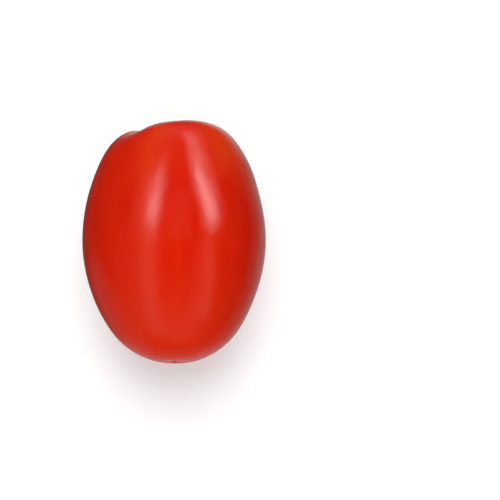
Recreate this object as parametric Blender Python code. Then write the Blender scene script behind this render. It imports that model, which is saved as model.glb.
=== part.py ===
"""A whole ripe plum tomato, lying on its side.

Metres, +Z up. The fruit's long axis runs along Y with the stem end at +Y.
The skin is one closed solid: a round-ended barrel with lobed shoulders, a
stem hollow with its corky scar, a small blossom scar and a rest spot below.
"""

import bpy
import bmesh
from math import acos, atan2, cos, exp, hypot, pi, radians, sin

MM = 0.001

# Body
HALF_LENGTH = 36.8 * MM        # equator to pole, before the ends are hollowed
HALF_WIDTH = 27.45 * MM        # radius near the equator
EQUATOR_SHIFT = 0.6 * MM       # widest section, towards the stem end
FULLNESS = (-0.006, -0.055, 0.114, 0.297)  # widening with height, 1st to 4th power

# Section: folds, how far they push the round out, and their turn in degrees
SECTION = ((2, 0.011, 0.0), (3, 0.010, 30.0), (4, 0.006, 20.0))

# Stem end
STEM_DIP_DEPTH = 8.4 * MM
STEM_DIP_RADIUS = 8.95 * MM
STEM_FLOOR_LIFT = 1.3 * MM     # the hollow's floor rises a little in the middle
STEM_FLOOR_RADIUS = 5.5 * MM
SHOULDER_START = 0.70          # share of the height where the lobes begin
SHOULDER_BLEND = 0.09
HOLLOW_FADE = 6.0 * MM         # the grooves run out inside this radius

# Grooves between the shoulder lobes: turn, depth, half-width in degrees
GROOVES = (
    (86.0, 0.75 * MM, 15.0),
    (130.0, 1.10 * MM, 14.0),
    (178.0, 0.90 * MM, 15.0),
    (-146.0, 0.80 * MM, 14.0),
    (-102.0, 0.85 * MM, 14.0),
)

# The deepest groove is a short cleft that begins later than the others
CLEFT_TURN = -55.0
CLEFT_DEPTH = 2.75 * MM
CLEFT_HALF_WIDTH = 22.0
CLEFT_START = 0.83
CLEFT_BLEND = 0.06

# Swell of single lobes: turn, height, half-width in degrees
LOBES = (
    (-77.0, -0.08 * MM, 32.0),
    (31.0, 0.56 * MM, 30.0),
    (154.0, 0.30 * MM, 22.0),
)

# Corky scar where the stalk came off
SCAR_RADIUS = 2.7 * MM
SCAR_RIM_HEIGHT = 0.38 * MM
SCAR_RIM_WIDTH = 0.50 * MM
SCAR_PIT_DEPTH = 0.55 * MM
SCAR_PIT_RADIUS = 1.10 * MM
SCAR_RIDGES = 9
SCAR_RIDGE_HEIGHT = 0.10 * MM
SEPAL_MARKS = 5
SEPAL_MARK_HEIGHT = 0.16 * MM
SEPAL_MARK_RADIUS = 3.7 * MM
SEPAL_MARK_WIDTH = 0.80 * MM

# Blossom end
BLOSSOM_DIP_DEPTH = 0.70 * MM
BLOSSOM_DIP_RADIUS = 3.2 * MM
BLOSSOM_TIP_HEIGHT = 0.45 * MM
BLOSSOM_TIP_RADIUS = 0.80 * MM

# Rest spot: depth taken off the underside
REST_DEPTH = 0.70 * MM

# Mesh: segments round the fruit, rings from end to end, crowding to the ends
SEGMENTS = 72
RINGS = 64
RING_CROWD = 0.70

SKIN_COLOUR = (0.68, 0.020, 0.004, 1.0)
SKIN_ROUGHNESS = 0.28


def turn_from(theta, degrees):
    """Angle in degrees between a meridian and the one at the given turn."""
    away = (theta * 180.0 / pi - degrees + 180.0) % 360.0 - 180.0
    return away


def section(theta):
    """Out-of-round factor of the cross-section."""
    factor = 1.0
    for folds, amount, turn in SECTION:
        factor += amount * cos(folds * (theta - radians(turn)))
    return factor


def begun(s, start, blend):
    """How far a form has begun at a share s of the height, from 0 to 1."""
    return 1.0 / (1.0 + exp(-(s - start) / blend))


def ridge(theta, turn, height, width):
    """Rounded ridge of the given height along one meridian."""
    return height * exp(-(turn_from(theta, turn) / width) ** 2)


def shoulder_relief(theta, s):
    """Swell of the lobes less the grooves between them."""
    relief = 0.0
    for turn, depth, width in GROOVES:
        relief -= ridge(theta, turn, depth, width)
    for turn, height, width in LOBES:
        relief += ridge(theta, turn, height, width)
    relief *= begun(s, SHOULDER_START, SHOULDER_BLEND)
    cleft = ridge(theta, CLEFT_TURN, CLEFT_DEPTH, CLEFT_HALF_WIDTH)
    return relief - cleft * begun(s, CLEFT_START, CLEFT_BLEND)


def stem_relief(theta, rho):
    """Height of the corky scar and sepal marks above the hollow's floor."""
    rim = SCAR_RIM_HEIGHT * exp(-((rho - SCAR_RADIUS) / SCAR_RIM_WIDTH) ** 2)
    pit = SCAR_PIT_DEPTH * exp(-(rho / SCAR_PIT_RADIUS) ** 2)
    rays = SCAR_RIDGE_HEIGHT * cos(SCAR_RIDGES * theta + 0.6 * sin(2.0 * theta))
    rays *= exp(-((rho - 0.75 * SCAR_RADIUS) / SCAR_RIM_WIDTH) ** 2)
    mark = max(0.0, cos(SEPAL_MARKS * theta + 0.5)) ** 2 * SEPAL_MARK_HEIGHT
    mark *= exp(-((rho - SEPAL_MARK_RADIUS) / SEPAL_MARK_WIDTH) ** 2)
    return rim - pit + rays + mark


def skin_point(theta, polar):
    """Point of the skin; theta turns from +Z to +X, polar runs from the stem end."""
    s = cos(polar)
    width = 1.0
    for power, amount in enumerate(FULLNESS):
        width += amount * s ** (power + 1)
    rho = HALF_WIDTH * sin(polar) * width * section(theta)
    along = EQUATOR_SHIFT + HALF_LENGTH * s
    if s > 0.0:
        along -= STEM_DIP_DEPTH * exp(-(rho / STEM_DIP_RADIUS) ** 2)
        along += STEM_FLOOR_LIFT * exp(-(rho / STEM_FLOOR_RADIUS) ** 2)
        along += stem_relief(theta, rho)
    else:
        along += BLOSSOM_DIP_DEPTH * exp(-(rho / BLOSSOM_DIP_RADIUS) ** 2)
        along -= BLOSSOM_TIP_HEIGHT * exp(-(rho / BLOSSOM_TIP_RADIUS) ** 2)

    # The lobes stand out from the shoulder; they fade into the belly and the hollow.
    relief = shoulder_relief(theta, s) * (1.0 - exp(-(rho / HOLLOW_FADE) ** 4))
    out_across = sin(polar) / HALF_WIDTH
    out_along = s / HALF_LENGTH
    size = hypot(out_across, out_along)
    rho += relief * out_across / size
    along += relief * out_along / size
    return rho * sin(theta), along, rho * cos(theta)


def clear_scene():
    for item in list(bpy.data.objects):
        bpy.data.objects.remove(item, do_unlink=True)


def skin_material():
    material = bpy.data.materials.new("skin")
    material.use_nodes = True
    shader = material.node_tree.nodes["Principled BSDF"]
    shader.inputs["Base Color"].default_value = SKIN_COLOUR
    shader.inputs["Roughness"].default_value = SKIN_ROUGHNESS
    shader.inputs["Metallic"].default_value = 0.0
    return material


def build_tomato():
    bm = bmesh.new()
    bmesh.ops.create_uvsphere(bm, u_segments=SEGMENTS, v_segments=RINGS, radius=1.0)
    for vert in bm.verts:
        share = acos(max(-1.0, min(1.0, vert.co.z))) / pi
        polar = pi * (share - RING_CROWD * sin(2.0 * pi * share) / (2.0 * pi))
        theta = atan2(vert.co.x, vert.co.y)
        vert.co = skin_point(theta, polar)

    # Slice off the rest spot and close it with one flat face.
    level = min(vert.co.z for vert in bm.verts) + REST_DEPTH
    every = bm.verts[:] + bm.edges[:] + bm.faces[:]
    bmesh.ops.bisect_plane(
        bm, geom=every, dist=0.01 * MM, plane_co=(0.0, 0.0, level),
        plane_no=(0.0, 0.0, -1.0), clear_outer=True)
    rim = [edge for edge in bm.edges if edge.is_boundary]
    for edge in rim:
        for vert in edge.verts:
            vert.co.z = level
    bmesh.ops.holes_fill(bm, edges=rim, sides=0)
    bmesh.ops.recalc_face_normals(bm, faces=bm.faces[:])

    # Bottom centre of the whole fruit to the origin.
    xs = [vert.co.x for vert in bm.verts]
    ys = [vert.co.y for vert in bm.verts]
    zs = [vert.co.z for vert in bm.verts]
    shift = (-(min(xs) + max(xs)) / 2.0, -(min(ys) + max(ys)) / 2.0, -min(zs))
    bmesh.ops.translate(bm, verts=bm.verts[:], vec=shift)

    mesh = bpy.data.meshes.new("tomato")
    bm.to_mesh(mesh)
    bm.free()
    for face in mesh.polygons:
        face.use_smooth = True
    mesh.materials.append(skin_material())
    return bpy.data.objects.new("tomato", mesh)


def main():
    clear_scene()
    group = bpy.data.collections.new("plum_tomato")
    bpy.context.scene.collection.children.link(group)
    group.objects.link(build_tomato())


main()
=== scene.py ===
from math import cos, hypot, pi, radians, sin

import bpy
from mathutils import Matrix, Vector


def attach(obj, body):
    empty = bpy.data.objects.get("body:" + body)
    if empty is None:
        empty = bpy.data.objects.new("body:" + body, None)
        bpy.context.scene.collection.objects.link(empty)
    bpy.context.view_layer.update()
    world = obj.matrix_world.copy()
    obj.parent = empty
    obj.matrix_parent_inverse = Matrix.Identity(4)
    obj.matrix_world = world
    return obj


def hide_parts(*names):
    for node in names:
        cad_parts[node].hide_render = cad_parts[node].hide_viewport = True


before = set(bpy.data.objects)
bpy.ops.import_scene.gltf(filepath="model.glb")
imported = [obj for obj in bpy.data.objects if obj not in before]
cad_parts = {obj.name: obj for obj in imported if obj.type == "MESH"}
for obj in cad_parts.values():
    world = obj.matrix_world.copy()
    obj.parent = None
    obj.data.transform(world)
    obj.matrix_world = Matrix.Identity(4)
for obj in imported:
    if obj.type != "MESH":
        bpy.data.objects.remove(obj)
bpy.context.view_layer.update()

# A whole ripe plum tomato lying on its side, seen from above.
# Positions are metres in the frame. The fruit's axis runs along Y, stem end at +Y.

scene = bpy.context.scene

# The fruit's own axis, and the middle of its box
AXIS_X = 0.000274
AXIS_Z = 0.02708
MIDDLE = Vector((0.0, 0.0, 0.02745))

# Making the skin from the solid
MERGE_WITHIN = 0.000002
QUAD_FOLD = radians(60.0)
QUAD_SKEW = radians(80.0)
SMOOTHING = 2

# Relief pressed into the skin: reach of the cork from the axis, size of each pattern, height
CORK_REACH = 0.0042
CORK_FADE = 0.0012
CORK_GRAIN = 0.00045
CORK_HEIGHT = 0.00030
SWELL_SIZE = 0.014
SWELL_HEIGHT = 0.00030

# Crests between the grooves, which stay more orange: turn in degrees, half-width, strength
CRESTS = (
    (-76.0, 17.0, 0.45),
    (-15.0, 14.0, 0.80),
    (52.0, 27.0, 1.30),
    (108.0, 18.0, 0.90),
    (154.0, 18.0, 0.70),
    (-164.0, 15.0, 0.80),
    (-124.0, 17.0, 0.75),
)
MOST_CREST = 1.3

# Faint paler, more orange bands along the belly, the two strongest at turns -17 and +23: turn,
# half-width, strength
RIBS = (
    (-17.0, 5.5, 1.00),
    (23.0, 5.5, 1.00),
    (68.0, 6.0, 0.70),
    (112.0, 5.0, 0.60),
    (160.0, 6.0, 0.60),
    (-150.0, 5.0, 0.60),
    (-108.0, 6.0, 0.70),
    (-66.0, 5.5, 0.50),
)

WHITE = (1.0, 1.0, 1.0, 1.0)

# Colours of the skin, from the red of the flesh to the green of the stem hollow
RED_DEEP = (0.770, 0.0135, 0.0015, 1.0)
RED_BRIGHT = (0.810, 0.0185, 0.0020, 1.0)
RED_STREAK = (0.825, 0.0260, 0.0030, 1.0)
RED_RIB = (0.830, 0.0360, 0.0040, 1.0)
RED_BLOSSOM_HALF = (0.810, 0.0300, 0.0028, 1.0)
ORANGE_SHOULDER = (0.860, 0.0520, 0.0060, 1.0)
ORANGE_HOLLOW = (0.800, 0.1300, 0.0150, 1.0)
GREEN_HOLLOW = (0.640, 0.3500, 0.0480, 1.0)
PALE_DOT = (0.900, 0.1600, 0.0400, 1.0)
BLOSSOM_RING = (0.800, 0.0600, 0.0080, 1.0)

# Colours of the cork: the stem scar, its cracked middle and the blossom tip
CORK_BROWN = (0.150, 0.062, 0.020, 1.0)
CORK_TAN = (0.470, 0.260, 0.095, 1.0)
CORK_MIDDLE = (0.080, 0.042, 0.016, 1.0)
TIP_BROWN = (0.120, 0.050, 0.016, 1.0)
TIP_TAN = (0.340, 0.170, 0.060, 1.0)

# How much of a colour shows where its zone is full
STREAK_SHARE = 0.45
RIB_SHARE = (0.45, 0.75)
BLOSSOM_HALF_SHARE = 0.60
SHOULDER_SHARE = 0.85
HOLLOW_SHARE = 0.75
GREEN_SHARE = 0.75
DOT_SHARE = 0.16
CORK_MIDDLE_SHARE = 0.75
BLOSSOM_RING_SHARE = 0.20
TIP_SHARE = 0.85

# Zones along the fruit, in millimetres: where each begins, where it is full
RIB_ZONE = (26.0, 12.0)
BLOSSOM_HALF_ZONE = (-6.0, -26.0)
SHOULDER_ZONE = (10.0, 29.0)
ZONE_WANDER = 4.0

# Zones round the axis, in millimetres: where each begins, where it is full
HOLLOW_ZONE = (12.5, 6.0)
GREEN_ZONE = (6.8, 3.2)
RAY_WANDER = 2.0
SCAR_ZONE = (3.55, 3.05)
CORK_MIDDLE_ZONE = (1.7, 0.8)
BLOSSOM_RING_ZONE = (5.0, 1.4)
TIP_ZONE = (0.75, 0.40)
SCAR_WANDER = 0.35

# Pale dots in the skin: size from the blossom end to the stem end, as a share of their spacing
DOT_ENDS = (-30.0, 30.0)
DOT_SIZES = (0.10, 0.16)
DOT_CORE = 0.4

# Fineness of the patterns, per metre
CLOUDS = 38.0
PATCHES = 85.0
WAX_SMEARS = 180.0
UNEVENNESS = 190.0
DOT_GROUPS = 260.0
DOTS = 700.0
SCAR_EDGE = 900.0
SKIN_CELLS = 2100.0
CORK_CELLS = 2600.0

# Gloss of the wax, dullness of the cork, and the flesh that lets light in
WAX_ROUGHNESS = (0.110, 0.135)
CORK_DULLNESS = 0.60
SKIN_IOR = 1.48
FLESH_WEIGHT = 0.25
FLESH_RADIUS = (1.0, 0.16, 0.08)
FLESH_DEPTH = 0.003

# Finest relief, only in the shading: depth in metres, strength
CELL_RELIEF = (0.00004, 0.08)
STREAK_RELIEF = (0.00040, 0.06)
UNEVEN_RELIEF = (0.00040, 0.22)
CORK_RELIEF = (0.00030, 0.9)

# Floor: as a source of light, as the camera sees it, and its glow near and far
FLOOR_SIZE = 6.0
FLOOR_GREY = 0.42
FLOOR_SEEN = 0.78
FLOOR_GLOW = 0.41
FAR_GLOW = 1.00
FAR_REACH = (0.25, 1.30)

# Soft boxes that only the gloss mirrors: name, from, to, brightness, and two curves of place
# and brightness, across the box and along it. Two bright ones lie over the shoulders, one
# small one carries on towards the stem end, and two dim ones carry on along the belly.
BOX_WIDTH = 0.40
SOFT_BOXES = (
    ("box_left", (-0.349, -0.035, 0.453), (-0.190, 0.674, 0.307), 4.8,
     ((0.0, 0.01), (0.25, 0.05), (0.42, 0.15), (0.50, 0.33), (0.58, 0.80), (0.66, 1.0),
      (0.75, 0.80), (0.84, 0.34), (0.92, 0.08), (1.0, 0.0)),
     ((0.0, 0.05), (0.08, 0.12), (0.20, 0.52), (0.30, 0.97), (0.38, 1.0), (0.50, 0.55),
      (0.60, 0.24), (0.70, 0.07), (1.0, 0.01))),
    ("box_right", (0.407, -0.025, 0.239), (0.228, 0.632, 0.543), 5.8,
     ((0.0, 0.0), (0.17, 0.12), (0.25, 0.36), (0.33, 0.74), (0.42, 0.98), (0.50, 1.0),
      (0.58, 0.78), (0.67, 0.42), (0.75, 0.20), (1.0, 0.02)),
     ((0.0, 0.0), (0.13, 0.02), (0.20, 0.35), (0.30, 0.95), (0.50, 1.0), (0.70, 0.85),
      (0.85, 0.22), (1.0, 0.0))),
    ("box_right_high", (0.309, 0.394, 0.453), (0.088, 0.653, 0.059), 2.0,
     ((0.0, 0.0), (0.08, 0.13), (0.17, 0.34), (0.25, 0.76), (0.36, 1.0), (0.50, 0.84),
      (0.67, 0.35), (0.83, 0.15), (1.0, 0.0)),
     ((0.0, 0.0), (0.12, 0.3), (0.30, 0.95), (0.55, 1.0), (0.80, 0.50), (1.0, 0.25))),
    ("box_left_low", (-0.242, -0.432, 0.059), (-0.286, 0.112, 0.397), 0.42,
     ((0.0, 0.30), (0.17, 0.15), (0.42, 0.27), (0.50, 0.42), (0.58, 0.80), (0.67, 1.0),
      (0.75, 0.82), (0.83, 0.43), (0.92, 0.20), (1.0, 0.0)),
     ((0.0, 0.4), (0.35, 1.0), (0.65, 1.0), (0.85, 1.0), (1.0, 0.0))),
    ("box_right_low", (0.227, -0.394, 0.173), (0.416, 0.009, 0.654), 0.42,
     ((0.0, 0.05), (0.08, 0.17), (0.25, 0.30), (0.42, 0.55), (0.58, 0.92), (0.67, 1.0),
      (0.75, 0.76), (0.83, 0.42), (0.92, 0.19), (1.0, 0.0)),
     ((0.0, 0.8), (0.20, 1.0), (0.50, 0.85), (0.85, 0.85), (1.0, 0.0))),
)

# The broad light from above that shapes the fruit
TOP_PLACE = Vector((0.0, 0.32, 1.18))
TOP_SIZE = 0.70
TOP_BRIGHTNESS = 6.0

# Soft banks of the sky, before and behind the fruit, for all but the gloss
SKY_LOW = 0.03
SKY_BEHIND = 2.1
SKY_BEFORE = 3.2

# The dim room that the gloss sees, by the direction looked in: where a pale patch begins,
# where it is full, its brightness
GLOSS_LEVEL = 0.015
TABLE_EDGE = (-0.40, -0.62, 0.13)
TABLE_FOOT = (-0.62, -0.95, 0.20)
BLOSSOM_WALL = (-0.60, -0.95, 0.04)
STEM_WALL = (0.88, 0.99, 0.20)
CORNER = (-0.72, -0.48, -0.50)
CORNER_PATCH = (0.82, 0.98, 0.17)
FAR_TABLE = (-0.55, -0.80, 0.38)
FAR_TABLE_ZONE = (0.18, 0.42)
FAR_TABLE_LEFT = 1.1
FAR_TABLE_RIGHT = 0.3

# The table is darker to the left, and more so towards the stem end
SHADE_LEAN = 0.45
SHADE_ZONE = (0.05, 0.35)
TABLE_SHADE = 0.85

# Camera: nearly straight down, leaning towards the blossom end. The middle of the fruit
# stands at this pixel of a square frame, where a pixel is this wide.
TILT = radians(8.0)
DISTANCE = 0.900
SENSOR = 36.0
FRAME = 500.0
PIXEL = 0.0002957
FRUIT_X = 174.0
FRUIT_Y = 244.0
CLIP_NEAR = 0.01
CLIP_FAR = 20.0


def only(obj):
    """Select one object and make it the active one."""
    bpy.ops.object.select_all(action="DESELECT")
    obj.select_set(True)
    bpy.context.view_layer.objects.active = obj


def press_relief(skin, name, size, depth, height, group=""):
    """Push the skin out and in by a cloud pattern."""
    clouds = bpy.data.textures.new(name, "CLOUDS")
    clouds.noise_scale = size
    clouds.noise_depth = depth
    relief = skin.modifiers.new(name, "DISPLACE")
    relief.texture = clouds
    relief.texture_coords = "LOCAL"
    relief.vertex_group = group
    relief.strength = height
    relief.mid_level = 0.5
    bpy.ops.object.modifier_apply(modifier=relief.name)


def make_skin():
    """The fruit's skin: the merged solid, smoothed, with its corky scar roughened."""
    source = bpy.data.objects["tomato"]
    skin = bpy.data.objects.new("tomato_skin", source.data.copy())
    scene.collection.objects.link(skin)
    skin.data.materials.clear()
    only(skin)
    bpy.ops.object.mode_set(mode="EDIT")
    bpy.ops.mesh.select_all(action="SELECT")
    bpy.ops.mesh.remove_doubles(threshold=MERGE_WITHIN)
    bpy.ops.mesh.tris_convert_to_quads(face_threshold=QUAD_FOLD, shape_threshold=QUAD_SKEW)
    bpy.ops.mesh.normals_make_consistent(inside=False)
    bpy.ops.object.mode_set(mode="OBJECT")
    bpy.ops.object.shade_smooth()

    smooth = skin.modifiers.new("smooth", "SUBSURF")
    smooth.levels = SMOOTHING
    smooth.render_levels = SMOOTHING
    bpy.ops.object.modifier_apply(modifier=smooth.name)

    cork = skin.vertex_groups.new(name="cork")
    for vert in skin.data.vertices:
        radius = hypot(vert.co.x - AXIS_X, vert.co.z - AXIS_Z)
        weight = max(0.0, min(1.0, (CORK_REACH - radius) / CORK_FADE))
        if vert.co.y > 0.0 and weight > 0.0:
            cork.add([vert.index], weight, "REPLACE")
    press_relief(skin, "cork_grain", CORK_GRAIN, 2, CORK_HEIGHT, "cork")
    press_relief(skin, "skin_swell", SWELL_SIZE, 0, SWELL_HEIGHT)
    return skin


class Nodes:
    """Short calls for building one node tree."""

    def __init__(self, tree):
        self.tree = tree

    def new(self, kind):
        return self.tree.nodes.new(kind)

    def put(self, socket, value):
        """Link a socket to a value that is one too, or else set it."""
        if isinstance(value, bpy.types.NodeSocket):
            self.tree.links.new(value, socket)
        else:
            socket.default_value = value

    def math(self, operation, first, second=0.0, third=0.0):
        node = self.new("ShaderNodeMath")
        node.operation = operation
        self.put(node.inputs[0], first)
        self.put(node.inputs[1], second)
        self.put(node.inputs[2], third)
        return node.outputs[0]

    def add(self, first, second):
        return self.math("ADD", first, second)

    def sub(self, first, second):
        return self.math("SUBTRACT", first, second)

    def mul(self, first, second):
        return self.math("MULTIPLY", first, second)

    def span(self, value, low, high, start=0.0, end=1.0):
        """Smooth step from start to end as the value goes from low to high."""
        node = self.new("ShaderNodeMapRange")
        node.interpolation_type = "SMOOTHSTEP"
        self.put(node.inputs["Value"], value)
        self.put(node.inputs["From Min"], low)
        self.put(node.inputs["From Max"], high)
        self.put(node.inputs["To Min"], start)
        self.put(node.inputs["To Max"], end)
        return node.outputs["Result"]

    def vary(self, pattern, start, end):
        """Let a noise pattern move a value between start and end."""
        return self.span(pattern, 0.3, 0.7, start, end)

    def patch(self, value, row):
        """A pale patch: where it begins, where it is full, its brightness."""
        low, high, brightness = row
        return self.span(value, low, high, 0.0, brightness)

    def ramp(self, value, stops):
        """Curve of straight stretches through pairs of place and height."""
        node = self.new("ShaderNodeValToRGB")
        node.color_ramp.interpolation = "LINEAR"
        elements = node.color_ramp.elements
        while len(elements) < len(stops):
            elements.new(0.5)
        for element, (place, height) in zip(elements, stops):
            element.position = place
            element.color = (height, height, height, 1.0)
        self.put(node.inputs[0], value)
        return node.outputs["Color"]

    def mix(self, share, first, second):
        """The first colour, with this share of the second."""
        node = self.new("ShaderNodeMix")
        node.data_type = "RGBA"
        self.put(node.inputs["Factor"], share)
        self.put(node.inputs[6], first)
        self.put(node.inputs[7], second)
        return node.outputs[2]

    def join(self, x, y, z):
        node = self.new("ShaderNodeCombineXYZ")
        self.put(node.inputs[0], x)
        self.put(node.inputs[1], y)
        self.put(node.inputs[2], z)
        return node.outputs[0]

    def split(self, vector):
        node = self.new("ShaderNodeSeparateXYZ")
        self.put(node.inputs[0], vector)
        return node.outputs

    def noise(self, vector, scale, detail=2.0, rough=0.5, warp=0.0):
        node = self.new("ShaderNodeTexNoise")
        self.put(node.inputs["Vector"], vector)
        node.inputs["Scale"].default_value = scale
        node.inputs["Detail"].default_value = detail
        node.inputs["Roughness"].default_value = rough
        node.inputs["Distortion"].default_value = warp
        return node.outputs["Fac"]

    def cells(self, vector, scale):
        node = self.new("ShaderNodeTexVoronoi")
        self.put(node.inputs["Vector"], vector)
        node.inputs["Scale"].default_value = scale
        return node.outputs["Distance"]

    def meridians(self, turn, rows):
        """Sum of soft bands along the fruit: turn in degrees, half-width, strength."""
        total = 0.0
        for middle, half_width, strength in rows:
            away = self.math("WRAP", self.sub(turn, middle), 180.0, -180.0)
            square = self.math("POWER", self.math("DIVIDE", away, half_width), 2.0)
            band = self.math("EXPONENT", self.mul(square, -1.0))
            total = self.add(total, self.mul(band, strength))
        return total

    def bump(self, height, distance, strength, under=None):
        """Relief in the shading, on top of the relief under it."""
        node = self.new("ShaderNodeBump")
        self.put(node.inputs["Height"], height)
        node.inputs["Distance"].default_value = distance
        self.put(node.inputs["Strength"], strength)
        if under is not None:
            self.put(node.inputs["Normal"], under)
        return node.outputs["Normal"]


class Spot:
    """Where a point of the skin is: millimetres along the fruit and from its axis, and its turn."""

    def __init__(self, n):
        self.place = n.new("ShaderNodeTexCoord").outputs["Object"]
        x, y, z = n.split(self.place)
        across_x = n.mul(n.sub(x, AXIS_X), 1000.0)
        across_z = n.mul(n.sub(z, AXIS_Z), 1000.0)
        square = n.add(n.mul(across_x, across_x), n.mul(across_z, across_z))
        self.along = n.mul(y, 1000.0)
        self.radius = n.math("SQRT", n.add(square, 0.0001))
        self.turn = n.mul(n.math("ARCTAN2", across_x, across_z), 180.0 / pi)
        self.turn_x = n.math("DIVIDE", across_x, self.radius)
        self.turn_z = n.math("DIVIDE", across_z, self.radius)
        self.stem_side = n.math("GREATER_THAN", self.along, 0.0)
        self.blossom_side = n.math("LESS_THAN", self.along, 0.0)

    def round_noise(self, n, fold, third, scale, detail):
        """Noise that follows the turn round the fruit, the same at every radius."""
        vector = n.join(n.mul(self.turn_x, fold), n.mul(self.turn_z, fold), third)
        return n.noise(vector, scale, detail, 0.5)


def flesh_colour(n, at, streaks):
    """Red of the flesh through the skin, in faint clouds, long streaks and paler ribs."""
    cloud = n.noise(at.place, CLOUDS, 2.0, 0.5)
    colour = n.mix(n.span(cloud, 0.34, 0.66), RED_DEEP, RED_BRIGHT)
    colour = n.mix(n.span(streaks, 0.50, 0.72, 0.0, STREAK_SHARE), colour, RED_STREAK)
    belly = n.span(n.math("ABSOLUTE", at.along), *RIB_ZONE)
    ribs = n.mul(n.meridians(at.turn, RIBS), belly)
    colour = n.mix(n.mul(ribs, n.vary(cloud, *RIB_SHARE)), colour, RED_RIB)
    along = n.add(at.along, n.vary(cloud, -ZONE_WANDER, ZONE_WANDER))
    blossom_half = n.span(along, *BLOSSOM_HALF_ZONE)
    return n.mix(n.mul(blossom_half, BLOSSOM_HALF_SHARE), colour, RED_BLOSSOM_HALF)


def add_shoulders(n, at, colour):
    """The shoulders ripen last: orange on the crests, deeper red along the grooves."""
    crest = n.meridians(at.turn, CRESTS)
    patch = n.noise(at.place, PATCHES, 3.0, 0.55, 0.4)
    along = n.add(at.along, n.vary(patch, -ZONE_WANDER, ZONE_WANDER))
    shoulder = n.mul(n.span(along, *SHOULDER_ZONE), n.math("MINIMUM", crest, MOST_CREST))
    return n.mix(n.mul(shoulder, SHOULDER_SHARE), colour, ORANGE_SHOULDER)


def add_hollow(n, at, colour):
    """Stem hollow: orange, then yellow-green by the scar, with short pale rays."""
    rays = at.round_noise(n, 6.0, n.mul(at.radius, 0.10), 2.0, 2.0)
    from_scar = n.add(at.radius, n.vary(rays, -RAY_WANDER, RAY_WANDER))
    hollow = n.mul(n.span(from_scar, *HOLLOW_ZONE), at.stem_side)
    colour = n.mix(n.mul(hollow, HOLLOW_SHARE), colour, ORANGE_HOLLOW)
    green = n.mul(n.span(from_scar, *GREEN_ZONE), at.stem_side)
    return n.mix(n.mul(green, GREEN_SHARE), colour, GREEN_HOLLOW)


def add_dots(n, at, colour):
    """Tiny pale dots in the skin, a little larger towards the shoulders."""
    dot_size = n.span(at.along, *DOT_ENDS, *DOT_SIZES)
    dots = n.span(n.cells(at.place, DOTS), dot_size, n.mul(dot_size, DOT_CORE))
    groups = n.span(n.noise(at.place, DOT_GROUPS, 1.0), 0.50, 0.62)
    return n.mix(n.mul(n.mul(dots, groups), DOT_SHARE), colour, PALE_DOT)


def add_scar(n, scar, scar_radius, grain, colour):
    """Corky scar: a tan ring round a darker cracked middle."""
    cork = n.mix(n.span(grain, 0.35, 0.68), CORK_BROWN, CORK_TAN)
    middle = n.mul(n.span(scar_radius, *CORK_MIDDLE_ZONE), CORK_MIDDLE_SHARE)
    return n.mix(scar, colour, n.mix(middle, cork, CORK_MIDDLE))


def add_blossom_end(n, at, tip, grain, colour):
    """Blossom end: a small brown tip in a slightly paler ring."""
    ring = n.mul(n.span(at.radius, *BLOSSOM_RING_ZONE), at.blossom_side)
    colour = n.mix(n.mul(ring, BLOSSOM_RING_SHARE), colour, BLOSSOM_RING)
    return n.mix(n.mul(tip, TIP_SHARE), colour, n.mix(grain, TIP_BROWN, TIP_TAN))


def skin_material():
    material = bpy.data.materials.new("tomato_skin")
    material.use_nodes = True
    shader = material.node_tree.nodes["Principled BSDF"]
    n = Nodes(material.node_tree)
    at = Spot(n)

    # Patterns that colour, gloss and relief share.
    streaks = at.round_noise(n, 9.0, n.mul(at.along, 0.030), 0.9, 3.0)
    grain = n.noise(at.place, CORK_CELLS, 4.0, 0.65)
    wander = n.vary(n.noise(at.place, SCAR_EDGE, 2.0), -SCAR_WANDER, SCAR_WANDER)
    scar_radius = n.add(at.radius, wander)
    scar = n.mul(n.span(scar_radius, *SCAR_ZONE), at.stem_side)
    tip = n.mul(n.span(scar_radius, *TIP_ZONE), at.blossom_side)

    colour = flesh_colour(n, at, streaks)
    colour = add_shoulders(n, at, colour)
    colour = add_hollow(n, at, colour)
    colour = add_dots(n, at, colour)
    colour = add_scar(n, scar, scar_radius, grain, colour)
    colour = add_blossom_end(n, at, tip, grain, colour)
    n.put(shader.inputs["Base Color"], colour)

    # Waxy gloss, dull cork.
    dry = n.math("MAXIMUM", scar, tip)
    wax = n.vary(n.noise(at.place, WAX_SMEARS, 3.0, 0.6), *WAX_ROUGHNESS)
    n.put(shader.inputs["Roughness"], n.add(wax, n.mul(dry, CORK_DULLNESS)))
    shader.inputs["IOR"].default_value = SKIN_IOR
    shader.inputs["Subsurface Weight"].default_value = FLESH_WEIGHT
    shader.inputs["Subsurface Radius"].default_value = FLESH_RADIUS
    shader.inputs["Subsurface Scale"].default_value = FLESH_DEPTH

    # Fine relief: skin cells, faint streaks along the fruit, unevenness, grain of the cork.
    normal = n.bump(n.cells(at.place, SKIN_CELLS), *CELL_RELIEF)
    normal = n.bump(streaks, *STREAK_RELIEF, normal)
    normal = n.bump(n.noise(at.place, UNEVENNESS, 2.0, 0.5), *UNEVEN_RELIEF, normal)
    cork_depth, cork_strength = CORK_RELIEF
    normal = n.bump(grain, cork_depth, n.mul(dry, cork_strength), normal)
    n.put(shader.inputs["Normal"], normal)
    return material


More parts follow.
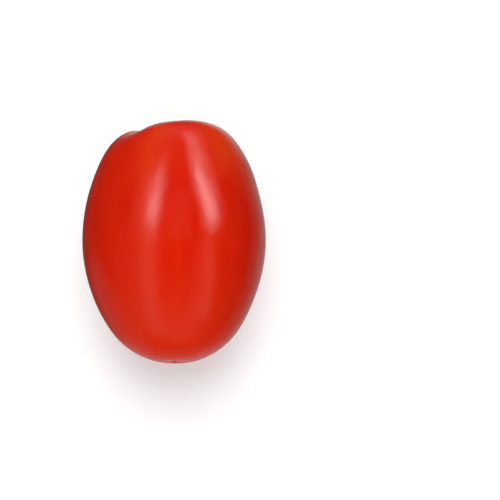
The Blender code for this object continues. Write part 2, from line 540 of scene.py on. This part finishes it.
def make_floor():
    """Pale floor, brighter to the eye than as a source of light, and even into the distance."""
    bpy.ops.object.select_all(action="DESELECT")
    bpy.ops.mesh.primitive_plane_add(size=FLOOR_SIZE, location=(0.0, 0.0, 0.0))
    floor = bpy.context.view_layer.objects.active
    floor.name = "floor"
    material = bpy.data.materials.new("floor_white")
    material.use_nodes = True
    shader = material.node_tree.nodes["Principled BSDF"]
    n = Nodes(material.node_tree)
    shader.inputs["Roughness"].default_value = 0.9
    shader.inputs["Specular IOR Level"].default_value = 0.1
    shader.inputs["Emission Color"].default_value = WHITE
    seen = n.new("ShaderNodeLightPath").outputs["Is Camera Ray"]
    grey = n.add(FLOOR_GREY, n.mul(seen, FLOOR_SEEN - FLOOR_GREY))
    n.put(shader.inputs["Base Color"], grey)
    distance = n.new("ShaderNodeVectorMath")
    distance.operation = "LENGTH"
    n.put(distance.inputs[0], n.new("ShaderNodeTexCoord").outputs["Object"])
    glow = n.span(distance.outputs["Value"], *FAR_REACH, FLOOR_GLOW, FAR_GLOW)
    n.put(shader.inputs["Emission Strength"], n.mul(seen, glow))
    floor.data.materials.append(material)
    floor.visible_glossy = False


def place_lamp(name, data, place, up):
    """Put a lamp in the scene, its +Y along up and its face towards the fruit."""
    side = Vector(up).cross(place - MIDDLE).normalized()
    back = side.cross(Vector(up).normalized())
    turn = Matrix((side, back.cross(side), back)).transposed()
    lamp = bpy.data.objects.new(name, data)
    scene.collection.objects.link(lamp)
    lamp.matrix_world = Matrix.Translation(place) @ turn.to_4x4()
    lamp.visible_camera = False
    return lamp


def area(name, width, length, radiance):
    """A rectangular light whose power follows from its brightness."""
    data = bpy.data.lights.new(name, "AREA")
    data.shape = "RECTANGLE"
    data.size = width
    data.size_y = length
    data.energy = radiance * pi * width * length
    return data


def soft_box(name, low, high, radiance, across, along):
    """A long box from low to high, as bright at each place as the two curves say."""
    low = Vector(low)
    high = Vector(high)
    data = area(name, BOX_WIDTH, (high - low).length, radiance)
    lamp = place_lamp(name, data, (low + high) / 2.0, high - low)
    lamp.visible_diffuse = False
    data.use_nodes = True
    n = Nodes(data.node_tree)
    u, v = n.split(n.new("ShaderNodeNewGeometry").outputs["Parametric"])[:2]
    strength = n.mul(n.ramp(u, across), n.ramp(v, along))
    n.put(n.tree.nodes["Emission"].inputs["Strength"], strength)


def soft_top():
    """The broad light from above, which the gloss doesn't mirror."""
    data = area("soft_top", TOP_SIZE, TOP_SIZE, TOP_BRIGHTNESS)
    lamp = place_lamp("soft_top", data, TOP_PLACE, (0.0, 1.0, 0.0))
    lamp.visible_glossy = False


def soft_banks(n, y):
    """Brightness of the sky by how far a direction points before or behind the fruit."""
    fourth = n.math("POWER", n.math("ABSOLUTE", y), 4.0)
    behind = n.math("GREATER_THAN", y, 0.0)
    bank = n.add(SKY_BEFORE, n.mul(behind, SKY_BEHIND - SKY_BEFORE))
    return n.add(n.mul(fourth, bank), SKY_LOW)


def mirrored_room(n, x, y, z):
    """Brightness of the dim room that the gloss sees, with its pale table and walls."""
    table = n.add(n.patch(z, TABLE_EDGE), n.patch(z, TABLE_FOOT))
    shaded = n.span(n.sub(n.mul(n.sub(y, sin(TILT)), SHADE_LEAN), x), *SHADE_ZONE)
    table = n.mul(table, n.sub(1.0, n.mul(shaded, TABLE_SHADE)))
    walls = n.add(n.patch(y, BLOSSOM_WALL), n.patch(y, STEM_WALL))
    to_corner = n.add(n.add(n.mul(x, CORNER[0]), n.mul(y, CORNER[1])), n.mul(z, CORNER[2]))
    walls = n.add(walls, n.patch(to_corner, CORNER_PATCH))
    leftward = n.math("MINIMUM", x, 0.0)
    rightward = n.math("MAXIMUM", x, 0.0)
    far = n.sub(n.add(y, n.mul(leftward, FAR_TABLE_LEFT)), n.mul(rightward, FAR_TABLE_RIGHT))
    far_table = n.mul(n.span(far, *FAR_TABLE_ZONE), n.patch(z, FAR_TABLE))
    return n.add(n.add(table, walls), n.add(far_table, GLOSS_LEVEL))


def make_world():
    """Soft banks before and behind the fruit; the gloss sees a dim room with a pale table."""
    world = bpy.data.worlds.new("studio")
    scene.world = world
    world.use_nodes = True
    n = Nodes(world.node_tree)
    x, y, z = n.split(n.new("ShaderNodeTexCoord").outputs["Generated"])
    gloss = n.new("ShaderNodeLightPath").outputs["Is Glossy Ray"]
    mirrored = n.mul(gloss, mirrored_room(n, x, y, z))
    soft = n.mul(n.sub(1.0, gloss), soft_banks(n, y))
    background = n.tree.nodes["Background"]
    background.inputs["Color"].default_value = WHITE
    n.put(background.inputs["Strength"], n.add(mirrored, soft))


def make_camera():
    """Camera that shows the fruit at its place and size in the frame."""
    right = Vector((1.0, 0.0, 0.0))
    up = Vector((0.0, cos(TILT), sin(TILT)))
    back = Vector((0.0, -sin(TILT), cos(TILT)))
    shift_right = (FRAME / 2.0 - FRUIT_X) * PIXEL
    shift_down = (FRAME / 2.0 - FRUIT_Y) * PIXEL
    target = MIDDLE + right * shift_right - up * shift_down
    data = bpy.data.cameras.new("camera")
    data.sensor_width = SENSOR
    data.lens = SENSOR * DISTANCE / (FRAME * PIXEL)
    data.clip_start = CLIP_NEAR
    data.clip_end = CLIP_FAR
    camera = bpy.data.objects.new("camera", data)
    scene.collection.objects.link(camera)
    turn = Matrix((right, up, back)).transposed()
    camera.matrix_world = Matrix.Translation(target + back * DISTANCE) @ turn.to_4x4()
    scene.camera = camera


skin = make_skin()
skin.data.materials.append(skin_material())
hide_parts("tomato")
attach(skin, "root")

make_floor()
for row in SOFT_BOXES:
    soft_box(*row)
soft_top()
make_world()
make_camera()
scene.view_settings.view_transform = "Standard"
scene.view_settings.look = "None"
